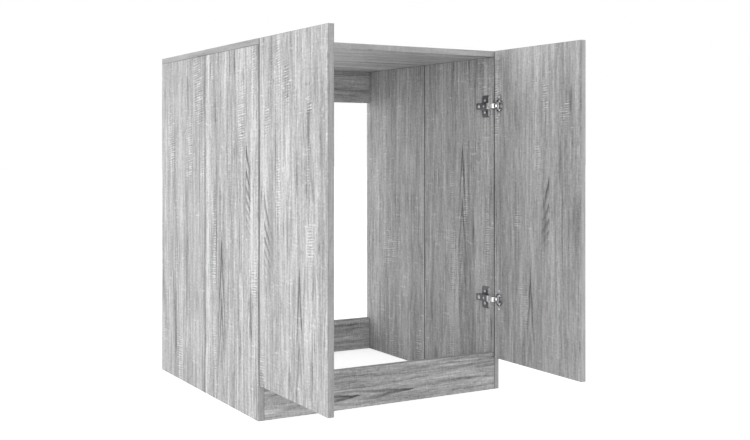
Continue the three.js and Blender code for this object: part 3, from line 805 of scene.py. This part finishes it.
ARM_PAST_WEB = 25.0
ARM_EDGE = 0.15
NOSE_RADIUS = 3.0
OUTER_PIN = Vector((18.0, -0.6))
INNER_PIN = Vector((11.55, -1.0))
CUP_OUTER_PIN = Vector((9.6, -2.85))
CUP_INNER_PIN = Vector((9.2, -7.3))
PIN_RADIUS = 1.2
RIVET_RADIUS = 1.9
RIVET_HEIGHT = 0.6
EYE_RADIUS = 2.3
EYE_GAP = 0.3
CLAMP_BACK = 48.0
CLAMP_SLOT = (-1.0, 3.0)
CLAMP_SLOT_RADIUS = 2.8
ADJUST_BACK = 27.0
ADJUST_HOLE_RADIUS = 2.6
PLATE_BACK = 37.0
PLATE_SCREW_OFFSET = 16.0
COVER_SHEET = 0.6
COVER_SPAN = (13.0, 61.0)
COVER_FOOT = 5.0
COVER_GAP = 0.02
COVER_HOLES = ((CLAMP_BACK, 5.2), (ADJUST_BACK, 3.4))
CHEEK_PLACE = 9.2
CHEEK_SHEET = 1.1
CHEEK_END = 24.0
CHEEK_TOP = 1.2
CHEEK_CORNER = 4.0
CHEEK_FLOOR = -10.9
CHEEK_FRONT = ((10.4, CHEEK_FLOOR), (10.4, -1.0), (12.6, CHEEK_TOP))
CHEEK_EDGE = 0.25
KNUCKLE_RADIUS = 3.0
KNUCKLE_ROOT = 2.0
KNUCKLE_DROP = 0.8
PLATE_SPAN = (21.5, 53.5)
PLATE_SHEET = 2.0
PLATE_EDGE = 0.4
PLATE_HALF_HEIGHT = 30.0
PLATE_CORNER = 6.0
# The step and the spine: their corners, and the rounding of their edges
PLATE_STEP = ((0.5, PLATE_BACK - 6.5, -11.0), (3.4, PLATE_BACK + 6.5, 11.0), 0.7)
PLATE_SPINE = ((0.0, 21.0, -6.5), (9.0, 58.0, 6.5), 1.0)
LIP_LOW = 0.1
LIP_HEIGHT = 2.9
LIP_HALF = 0.8
LIP_EDGE = 0.7

# Screws: radius and length of the shank, radius and height of the head
WOOD_SCREW = (2.0, 11.5, 3.9, 1.7)
CLAMP_SCREW = (2.4, 10.6, 4.4, 2.1)
ADJUST_SCREW = (2.3, 6.0, 2.7, 1.2)
SCREW_STEPS = 32
SCREW_POINT = 2.0
SCREW_HEAD_EDGE = 0.2
SCREW_HEAD_ANGLES = (0.0, 0.4, 0.8, 1.2)
# The head's upright rim and the recess, as shares of its height and radius
HEAD_RIM_SHARE = 0.3
RECESS_FLOOR_SHARE = 0.25
RECESS_HALF_SHARES = (0.62, 0.15)
RECESS_RADIUS_SHARES = (0.26, 0.34)
RECESS_DIMPLE = 0.2
RECESS_STEPS = 16
RECESS_TOP = 4.0
PIN_STEPS = 24
PIN_DOME_ANGLES = (0.0, 0.5, 1.0, 1.35)

# Where screws seat: on the web, on the mounting plate and on the cup's ears
CLAMP_SEAT = ARM_WEB + 0.2
ADJUST_SEAT = ARM_WEB + 0.1
PLATE_SEAT = 3.6
EAR_SEAT = FLANGE_TOP + 0.2


def flange_outline():
    """Two ears on a round rim, with fillets where they meet."""
    fillets = []
    for way in (1, -1):
        offset = EAR_CENTRE - CUP_CENTRE + way * (EAR_HALF_WIDTH + EAR_FILLET)
        height = math.sqrt((RIM_RADIUS + EAR_FILLET) ** 2 - offset**2)
        fillets.append(((CUP_CENTRE + offset, height), math.degrees(math.atan2(height, offset))))
    (right, right_angle), (left, left_angle) = fillets
    rim = (CUP_CENTRE, 0.0)
    upper = [
        *arc(rim, RIM_RADIUS, 0, right_angle, 12)[:-1],
        *arc(right, EAR_FILLET, 180 + right_angle, 180, 6),
        *arc((EAR_CENTRE, EAR_HALF_HEIGHT - EAR_HALF_WIDTH), EAR_HALF_WIDTH, 0, 180, 16),
        *arc(left, EAR_FILLET, 0, left_angle - 180, 6),
        *arc(rim, RIM_RADIUS, left_angle, 180, 12)[1:],
    ]
    return [*upper, *((x, -y) for x, y in reversed(upper[1:-1]))]


def cup_mesh():
    """The turned cup, and its flange with two ears and a mouth for the arm."""
    heights = (CUP_SCREW_OFFSET, -CUP_SCREW_OFFSET)
    holes = [opening((EAR_CENTRE, height), EAR_HOLE_RADIUS, 16) for height in heights]
    mouth = opening((CUP_CENTRE, 0.0), CUP_INSIDE + FLANGE_MOUTH_GAP, 48)
    stamped = sheet([flange_outline(), mouth, *holes], -FLANGE_TOP, -FLANGE_LOW, FLANGE_EDGE)
    flange = turned(stamped, ON_DOOR)
    floor = -CUP_DEPTH + CUP_WALL
    corner = (CUP_RADIUS - CUP_CORNER, CUP_CORNER - CUP_DEPTH)
    inside_corner = (CUP_INSIDE - CUP_INSIDE_CORNER, floor + CUP_INSIDE_CORNER)
    profile = [
        (0.0, -CUP_DEPTH),
        *arc(corner, CUP_CORNER, -90, 0, 6),
        (CUP_RADIUS, CUP_RIM),
        (CUP_INSIDE, CUP_RIM),
        *arc(inside_corner, CUP_INSIDE_CORNER, 0, -90, 6),
        *((radius, floor + rise) for radius, rise in CUP_FLOOR),
    ]
    shell = turned(lathe(profile, CUP_STEPS), at(CUP_CENTRE, 0.0, 0.0) @ OUT_OF_DOOR)
    gap = block((-CUT_PAST, -MOUTH_DEPTH, -MOUTH_HALF_HEIGHT), (CUP_OUTER_PIN.x, CUT_PAST, MOUTH_HALF_HEIGHT))
    return together(cut(flange, gap), cut(shell, gap.copy()))


def pin_mesh(reach, head_radius=PIN_RADIUS, head=0.0):
    """A pin along the upright axis. A riveted end is a low dome."""
    dome = [(head_radius * math.cos(t), reach - head + head * math.sin(t)) for t in PIN_DOME_ANGLES]
    low = [(r, -h) for r, h in reversed(dome)]
    middle = [(PIN_RADIUS, head - reach), (PIN_RADIUS, reach - head)] if head else []
    return lathe([(0.0, -reach), *low, *middle, *dome, (0.0, reach)], PIN_STEPS)


def screw_mesh(shank, length, head_radius, head_height):
    """A pan-head screw along the upright axis with a crossed recess. Its seat is at zero."""
    crown_share = 1.0 - HEAD_RIM_SHARE
    dome = [
        (head_radius * math.cos(t), head_height * (HEAD_RIM_SHARE + crown_share * math.sin(t)))
        for t in SCREW_HEAD_ANGLES
    ]
    stem = [(0.0, -length), (shank, SCREW_POINT - length), (shank, 0.0)]
    body = lathe([*stem, (head_radius - SCREW_HEAD_EDGE, 0.0), *dome, (0.0, head_height)], SCREW_STEPS)
    floor = head_height * RECESS_FLOOR_SHARE
    long, short = (share * head_radius for share in RECESS_HALF_SHARES)
    slots = [block((-x, -y, floor), (x, y, RECESS_TOP)) for x, y in ((long, short), (short, long))]
    low_radius, top_radius = (share * head_radius for share in RECESS_RADIUS_SHARES)
    cone = [(0.0, floor - RECESS_DIMPLE), (low_radius, floor), (top_radius, RECESS_TOP), (0.0, RECESS_TOP)]
    return cut(body, *slots, lathe(cone, RECESS_STEPS))


# Straps are drawn along a curve: in equal steps of its share, clear of their eyes
STRAP_STEPS = 20
EYE_CLEAR = 0.25


def bow_curve(start, control, end):
    """A bent line. At a share of its way it gives the point there and its direction."""

    def curve(share):
        point = (1 - share) ** 2 * start + 2 * share * (1 - share) * control + share**2 * end
        along = 2 * (1 - share) * (control - start) + 2 * share * (end - control)
        return point, along.normalized()

    return curve


def beside(curve, distance, first=0, last=STRAP_STEPS):
    """Points beside a bent line, at equal steps of its share."""
    points = []
    for i in range(first, last + 1):
        point, along = curve(i / STRAP_STEPS)
        points.append(point + Vector((-along.y, along.x)) * distance)
    return points


def strap_side(curve, distance, start_radius, end_radius):
    """One side of a strap, clear of the eyes at its ends."""
    ends = ((curve(0.0)[0], start_radius + EYE_CLEAR), (curve(1.0)[0], end_radius + EYE_CLEAR))
    points = beside(curve, distance)
    return [point for point in points if all((point - end).length > clear for end, clear in ends)]


def round_end(place, along, half_width, radius):
    """A strap's round end, from its left side to its right as seen along it."""
    turn = math.degrees(math.atan2(along.y, along.x))
    side = 180 - math.degrees(math.asin(min(1.0, half_width / radius)))
    return arc(place, radius, turn + side, turn - side, 20)


def strap_outline(curve, half_width, start_radius, end_radius, end):
    """A strap along a bent line, with a round eye at its start and the given points at its end."""
    start, along = curve(0.0)
    return [
        *strap_side(curve, half_width, start_radius, end_radius),
        *end,
        *reversed(strap_side(curve, -half_width, start_radius, end_radius)),
        *round_end(start, -along, half_width, start_radius),
    ]


OUTER_LINK_HALF = 6.0
OUTER_CHEEK = 1.1
OUTER_HALF_WIDTH = 1.7
OUTER_BOW = 4.8
OUTER_BOW_SHARE = 0.58
OUTER_WEB = 1.0
OUTER_WEB_STEPS = (2, 10)
LINK_EDGE = 0.2


def pin_hole(pin):
    return prism(circle(pin, PIN_RADIUS + EYE_GAP), *LINK_CUT)


def outer_link_mesh(cup_pin):
    """Two bowed cheeks round the outer pins, joined by a web."""
    chord = (cup_pin - OUTER_PIN).normalized()
    outwards = Vector((-chord.y, chord.x))
    control = OUTER_PIN.lerp(cup_pin, OUTER_BOW_SHARE) + outwards * 2 * OUTER_BOW
    curve = bow_curve(OUTER_PIN, control, cup_pin)
    high, low = OUTER_LINK_HALF, OUTER_LINK_HALF - OUTER_CHEEK
    far_end = round_end(*curve(1.0), OUTER_HALF_WIDTH, EYE_RADIUS)
    outline = strap_outline(curve, OUTER_HALF_WIDTH, EYE_RADIUS, EYE_RADIUS, far_end)
    upper, lower = (prism(outline, *levels) for levels in ((low, high), (-high, -low)))
    outer = beside(curve, OUTER_HALF_WIDTH, *OUTER_WEB_STEPS)
    inner = beside(curve, OUTER_HALF_WIDTH - OUTER_WEB, *OUTER_WEB_STEPS)
    web = prism([*outer, *reversed(inner)], -low, low)
    link = cut(combined(upper, "UNION", [lower, web]), pin_hole(OUTER_PIN), pin_hole(cup_pin))
    return softened(link, LINK_EDGE, 2, CORNER_ANGLE)


def arm_outline():
    rear = ARM_LENGTH - NOSE_RADIUS
    return [
        (ARM_FOOT, rear),
        (ARM_FOOT, ARM_NECK),
        ARM_THROAT,
        *arc(INNER_PIN, NOSE_RADIUS, 180, 270, 8),
        *arc(OUTER_PIN, NOSE_RADIUS, -90, 0, 8),
        (ARM_WEB, ARM_NECK),
        (ARM_WEB, rear),
        *arc((ARM_WEB - NOSE_RADIUS, rear), NOSE_RADIUS, 0, 90, 8)[1:],
        *arc((ARM_FOOT + NOSE_RADIUS, rear), NOSE_RADIUS, 90, 180, 8)[:-1],
    ]


# A fold rounds level edges behind the nose
LEVEL_MARGIN = 0.01
FOLD_FRONT = -0.7
FOLD_STEPS = 4


def folded(mesh, from_x, radius):
    """The long edges beyond a given x, rounded as a fold."""
    bm = bmesh.new()
    bm.from_mesh(mesh)
    edges = [
        edge
        for edge in bm.edges
        if min(v.co.x for v in edge.verts) > from_x
        and abs(edge.verts[0].co.z - edge.verts[1].co.z) < LEVEL_MARGIN
        and min(v.co.y for v in edge.verts) > FOLD_FRONT
    ]
    bmesh.ops.bevel(bm, geom=edges, offset=radius, segments=FOLD_STEPS, profile=0.5, affect="EDGES")
    return mesh_of(bm)


def web_hole(outline):
    """A shape that cuts an outline through the arm's web."""
    return turned(prism(outline, *WEB_CUT), ON_SIDE)


def arm_mesh():
    """The folded arm: a channel with a closed nose, a slot for its clamp and a hole to adjust."""
    shell = folded(prism(arm_outline(), -ARM_HALF, ARM_HALF), ARM_WEB - EDGE_MARGIN, ARM_FOLD)
    inside = ARM_WEB - ARM_SHEET
    hollow = prism(
        [
            (0.0, ARM_LENGTH + CUT_PAST),
            (0.0, -CUT_PAST),
            (ARM_PAST_WEB, -CUT_PAST),
            (ARM_PAST_WEB, ARM_OPEN_FROM),
            (OUTER_PIN.x - ARM_SHEET, ARM_OPEN_FROM),
            (inside, ARM_NECK),
            (inside, ARM_LENGTH + CUT_PAST),
        ],
        ARM_SHEET - ARM_HALF,
        ARM_HALF - ARM_SHEET,
    )
    front, back = (CLAMP_BACK + end for end in CLAMP_SLOT)
    slot = [
        *arc((back, 0.0), CLAMP_SLOT_RADIUS, -90, 90, 10),
        *arc((front, 0.0), CLAMP_SLOT_RADIUS, 90, 270, 10),
    ]
    adjust_hole = web_hole(circle((ADJUST_BACK, 0.0), ADJUST_HOLE_RADIUS, 24))
    return softened(cut(shell, hollow, web_hole(slot), adjust_hole), ARM_EDGE, 2, CORNER_ANGLE)


def shade_cover_mesh():
    """A dark cap over the rear of the arm, open where its two screws are: a dark sheet of painted shade,
    where the arm's rear lies in shadow.
    """
    front, back = COVER_SPAN

    def channel(low_x, past, grown, fold):
        high_x, half = ARM_WEB + grown, ARM_HALF + grown
        solid = block((low_x, front - past, -half), (high_x, back + past, half))
        return folded(solid, high_x - EDGE_MARGIN, fold)

    shell = channel(COVER_FOOT, 0.0, COVER_SHEET, ARM_FOLD + COVER_SHEET)
    hollow = channel(-CUT_PAST, CUT_PAST, COVER_GAP, ARM_FOLD)
    holes = [web_hole(circle((place, 0.0), radius, 32)) for place, radius in COVER_HOLES]
    return softened(cut(shell, hollow, *holes), ARM_EDGE, 2, CORNER_ANGLE)


def cheek_mesh():
    """The cheeks in the cup that hold its pins, each with a rounded knuckle at its end."""
    outline = [
        *CHEEK_FRONT,
        (CHEEK_END, CHEEK_TOP),
        *arc((CHEEK_END, CHEEK_TOP - CHEEK_CORNER), CHEEK_CORNER, 80, 0, 8),
        (CHEEK_END + CHEEK_CORNER, CHEEK_FLOOR),
    ]
    radius = KNUCKLE_RADIUS
    dome = arc((0.0, 0.0), radius, 0, 75, 6)
    knuckle = [(0.0, -KNUCKLE_ROOT), (radius, -KNUCKLE_ROOT), *dome, (0.0, radius)]
    pieces = []
    for way in (1, -1):
        near, far = sorted((way * CHEEK_PLACE, way * (CHEEK_PLACE + CHEEK_SHEET)))
        pieces.append(softened(prism(outline, near, far), CHEEK_EDGE))
        place = at(CHEEK_END, CHEEK_TOP - KNUCKLE_DROP, way * (CHEEK_PLACE + radius - EDGE_MARGIN))
        pieces.append(turned(lathe(knuckle, PIN_STEPS), place @ OUT_OF_DOOR))
    return together(*pieces)


def plate_mesh():
    """The mounting plate: stamped wings, a step on them and the spine under the arm."""
    front, back = PLATE_SPAN[0] + PLATE_CORNER, PLATE_SPAN[1] - PLATE_CORNER
    height = PLATE_HALF_HEIGHT - PLATE_CORNER
    corners = ((back, height, 0), (front, height, 90), (front, -height, 180), (back, -height, 270))
    outline = [p for x, y, turn in corners for p in arc((x, y), PLATE_CORNER, turn, turn + 90, 8)]
    wings = turned(sheet([outline], 0.0, PLATE_SHEET, PLATE_EDGE), ON_SIDE)
    solids = [softened(block(low, high), edge, 3) for low, high, edge in (PLATE_STEP, PLATE_SPINE)]
    return together(wings, *solids)


def lip_mesh():
    """The bright edge of the mounting plate, towards the door."""
    front = PLATE_SPAN[0]
    end = PLATE_HALF_HEIGHT - PLATE_CORNER / 2
    low, high = (LIP_LOW, front - LIP_HALF, -end), (LIP_HEIGHT, front + LIP_HALF, end)
    return softened(block(low, high), LIP_EDGE, 4)


# The slot runs from near to far along the link, measured from the cup's pin
INNER_LINK_HALF = 3.8
INNER_HALF_WIDTH = 1.1
INNER_BOW = 4.6
INNER_BOW_SHARE = 0.3
SLOT_NEAR = 17.89
SLOT_FAR = 20.91
SLOT_RADIUS = 1.65
SLOT_WALL = 0.8


def inner_link_mesh(cup_pin):
    """A bowed link that widens to a pad, with a slot round the arm's inner pin."""
    chord = (INNER_PIN - cup_pin).normalized()
    outwards = Vector((chord.y, -chord.x))
    pad_from = cup_pin + chord * (SLOT_NEAR - 2 * EYE_RADIUS)
    slot_from, slot_to = cup_pin + chord * SLOT_NEAR, cup_pin + chord * SLOT_FAR
    # The bow leans on the whole way to the pin, but ends at the pad
    control = cup_pin.lerp(INNER_PIN, INNER_BOW_SHARE) + outwards * 2 * INNER_BOW
    curve = bow_curve(cup_pin, control, pad_from)
    pad_radius = SLOT_RADIUS + SLOT_WALL
    across = Vector((-chord.y, chord.x)) * pad_radius
    pad = [pad_from + across, *round_end(slot_to, chord, pad_radius, pad_radius), pad_from - across]
    outline = strap_outline(curve, INNER_HALF_WIDTH, EYE_RADIUS, EYE_CLEAR, pad)
    slot = [
        *round_end(slot_to, chord, SLOT_RADIUS, SLOT_RADIUS),
        *round_end(slot_from, -chord, SLOT_RADIUS, SLOT_RADIUS),
    ]
    body = prism(outline, -INNER_LINK_HALF, INNER_LINK_HALF)
    return softened(cut(body, prism(slot, *LINK_CUT), pin_hole(cup_pin)), LINK_EDGE, 2, CORNER_ANGLE)


def hinge_frames(side, label):
    """Millimetres on the cabinet side and on the open door, to metres in the frame."""
    sign, inner = (-1, 1) if side == "left" else (1, 0)
    board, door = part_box(f"{side}_side_front"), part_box(f"{side}_door")
    plate_low, plate_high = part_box(f"{label}_mounting_plate")
    upwards = (0, 0, MM, (plate_low[2] + plate_high[2]) / 2)
    on_side = Matrix(((-sign * MM, 0, 0, board[inner][0]), (0, MM, 0, board[0][1]), upwards, LAST_ROW))
    on_door = Matrix(((0, -sign * MM, 0, door[inner][0]), (-MM, 0, 0, door[1][1]), upwards, LAST_ROW))
    return on_side, on_door


def fit(name, mesh, matrix, body, slot, material, *replaced):
    """A piece at its place, on its body and with its finish, for the CAD nodes that it replaces."""
    mesh = turned(mesh.copy(), matrix)
    if matrix.determinant() < 0:
        mesh.flip_normals()
    mesh = smoothed(mesh)
    mesh.materials.clear()
    mesh.materials.append(material)
    piece = put(name, mesh)
    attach(piece, body)
    if replaced:
        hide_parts(*replaced)


def on_plan(pin, on_side, on_door):
    """A pin of the cup, on the cabinet side's own plan."""
    place = on_side.inverted() @ on_door @ Vector((pin.x, pin.y, 0.0))
    return Vector((place.x, place.y))


def hinge_meshes():
    """Each kind of piece, made once for all four hinges."""
    frames = hinge_frames("left", "left_lower")
    pin_offset = CUP_CENTRE - CUP_OUTER_PIN.x + PIN_RADIUS
    return {
        "arm": arm_mesh(),
        "arm_pin": pin_mesh(ARM_HALF + RIVET_HEIGHT, RIVET_RADIUS, RIVET_HEIGHT),
        "shade_cover": shade_cover_mesh(),
        "plate": plate_mesh(),
        "lip": lip_mesh(),
        "clamp": screw_mesh(*CLAMP_SCREW),
        "adjuster": screw_mesh(*ADJUST_SCREW),
        "outer": outer_link_mesh(on_plan(CUP_OUTER_PIN, *frames)),
        "inner": inner_link_mesh(on_plan(CUP_INNER_PIN, *frames)),
        "cup": cup_mesh(),
        "cheeks": cheek_mesh(),
        "cup_pin": pin_mesh(math.sqrt(CUP_RADIUS**2 - pin_offset**2)),
        "wood_screw": screw_mesh(*WOOD_SCREW),
    }


def fit_hinge(side, row, made):
    label = f"{side}_{row}"
    door = f"{side}_door"
    on_side, on_door = hinge_frames(side, label)

    def place(name, kind, matrix, body, finish, *nodes):
        fit(f"{label}_{name}", made[kind], matrix, body, *finish, *(f"{label}_{node}" for node in nodes))

    place("arm", "arm", on_side, "carcass", BRIGHT, "hinge_arm")
    for name, pin in (("outer", OUTER_PIN), ("inner", INNER_PIN)):
        place(f"arm_{name}_pin", "arm_pin", on_side @ at(*pin, 0.0), "carcass", BRIGHT)
    # The cover and the plate are dark: painted shade
    place("shade_cover", "shade_cover", on_side, "carcass", SHADE_DARK)
    place("plate", "plate", on_side, "carcass", SHADE_DARK, "mounting_plate")
    place("plate_lip", "lip", on_side, "carcass", BRIGHT)
    seat = on_side @ at(CLAMP_SEAT, CLAMP_BACK, 0.0) @ ON_SIDE
    place("clamp", "clamp", seat, "carcass", BRIGHT, "clamp_screw")
    seat = on_side @ at(ADJUST_SEAT, ADJUST_BACK, 0.0) @ ON_SIDE
    place("adjuster", "adjuster", seat, "carcass", BRIGHT)
    for name in ("outer", "inner"):
        place(name, name, on_side, f"{side}_{name}_links", BRIGHT, f"{name}_link")
    # The cup takes the darker nickel: painted shade
    place("cup", "cup", on_door, door, SHADED_FINISH, "hinge_cup")
    place("cup_cheeks", "cheeks", on_door, door, BRIGHT)
    for name, pin in (("outer", CUP_OUTER_PIN), ("inner", CUP_INNER_PIN)):
        place(f"cup_{name}_pin", "cup_pin", on_door @ at(*pin, 0.0), door, BRIGHT)
    for end, way in (("a", 1), ("b", -1)):
        seat = on_side @ at(PLATE_SEAT, PLATE_BACK, way * PLATE_SCREW_OFFSET) @ ON_SIDE
        place(f"plate_{end}", "wood_screw", seat, "carcass", BRIGHT, f"plate_screw_{end}")
        seat = on_door @ at(EAR_CENTRE, EAR_SEAT, way * CUP_SCREW_OFFSET) @ OUT_OF_DOOR
        place(f"cup_{end}", "wood_screw", seat, door, BRIGHT, f"cup_screw_{end}")


hinge_parts = hinge_meshes()
for side in ("left", "right"):
    for row in ("lower", "upper"):
        fit_hinge(side, row, hinge_parts)


# Studio


def seen_straight(g):
    """1 for what the camera sees, also in a reflection or through glass, and 0 for other light."""
    path = g.add("ShaderNodeLightPath").outputs
    seen = g.most(path["Is Camera Ray"], path["Is Glossy Ray"])
    return g.most(seen, path["Is Transmission Ray"])


def stage_floor():
    half = FLOOR_HALF
    mesh = bpy.data.meshes.new("floor")
    corners = [(-half, -half, 0), (half, -half, 0), (half, half, 0), (-half, half, 0)]
    mesh.from_pydata(corners, [], [(0, 1, 2, 3)])
    material, g = new_material("floor")
    diffuse = g.fill(g.add("ShaderNodeBsdfDiffuse"), {"Color": FLOOR_GREY})
    strength = g.times(seen_straight(g), FLOOR_GLOW)
    glow = g.fill(g.add("ShaderNodeEmission"), {"Color": WHITE, "Strength": strength})
    both = g.add("ShaderNodeAddShader", (diffuse.outputs[0], glow.outputs[0]))
    g.add("ShaderNodeOutputMaterial", (both.outputs[0],))
    mesh.materials.append(material)
    floor = put("floor", mesh)


def light_world():
    """White to the camera, and a soft sky for all other light."""
    world = bpy.data.worlds.new("studio")
    bpy.context.scene.world = world
    g = empty_graph(world)
    seen = seen_straight(g)
    climb = g.split(g.add("ShaderNodeTexCoord").outputs["Generated"])[2]
    sky = g.step(climb, 0.0, 1.0, HORIZON_LEVEL, ZENITH_LEVEL)
    level = g.plus(seen, g.times(g.minus(1.0, seen), sky))
    background = g.fill(g.add("ShaderNodeBackground"), {"Color": WHITE, "Strength": level})
    g.add("ShaderNodeOutputWorld", (background.outputs[0],))


def area_light(name, place, target, size, power):
    lamp = bpy.data.lights.new(name, "AREA")
    lamp.shape = "RECTANGLE"
    lamp.size, lamp.size_y = size
    lamp.energy = power
    light = put(name, lamp)
    light.location = place
    light.rotation_euler = (Vector(target) - Vector(place)).to_track_quat("-Z", "Y").to_euler()


def aim_camera():
    lens = bpy.data.cameras.new("camera")
    lens.lens = CAMERA_LENS
    lens.sensor_width = CAMERA_SENSOR
    lens.shift_y = CAMERA_SHIFT_Y
    camera = put("camera", lens)
    camera.location = CAMERA_PLACE
    camera.rotation_euler = (math.pi / 2, 0.0, -CAMERA_YAW)
    bpy.context.scene.camera = camera


stage_floor()
light_world()
for name, values in LAMPS.items():
    area_light(name, *values)
aim_camera()
bpy.context.scene.view_settings.view_transform = "Standard"
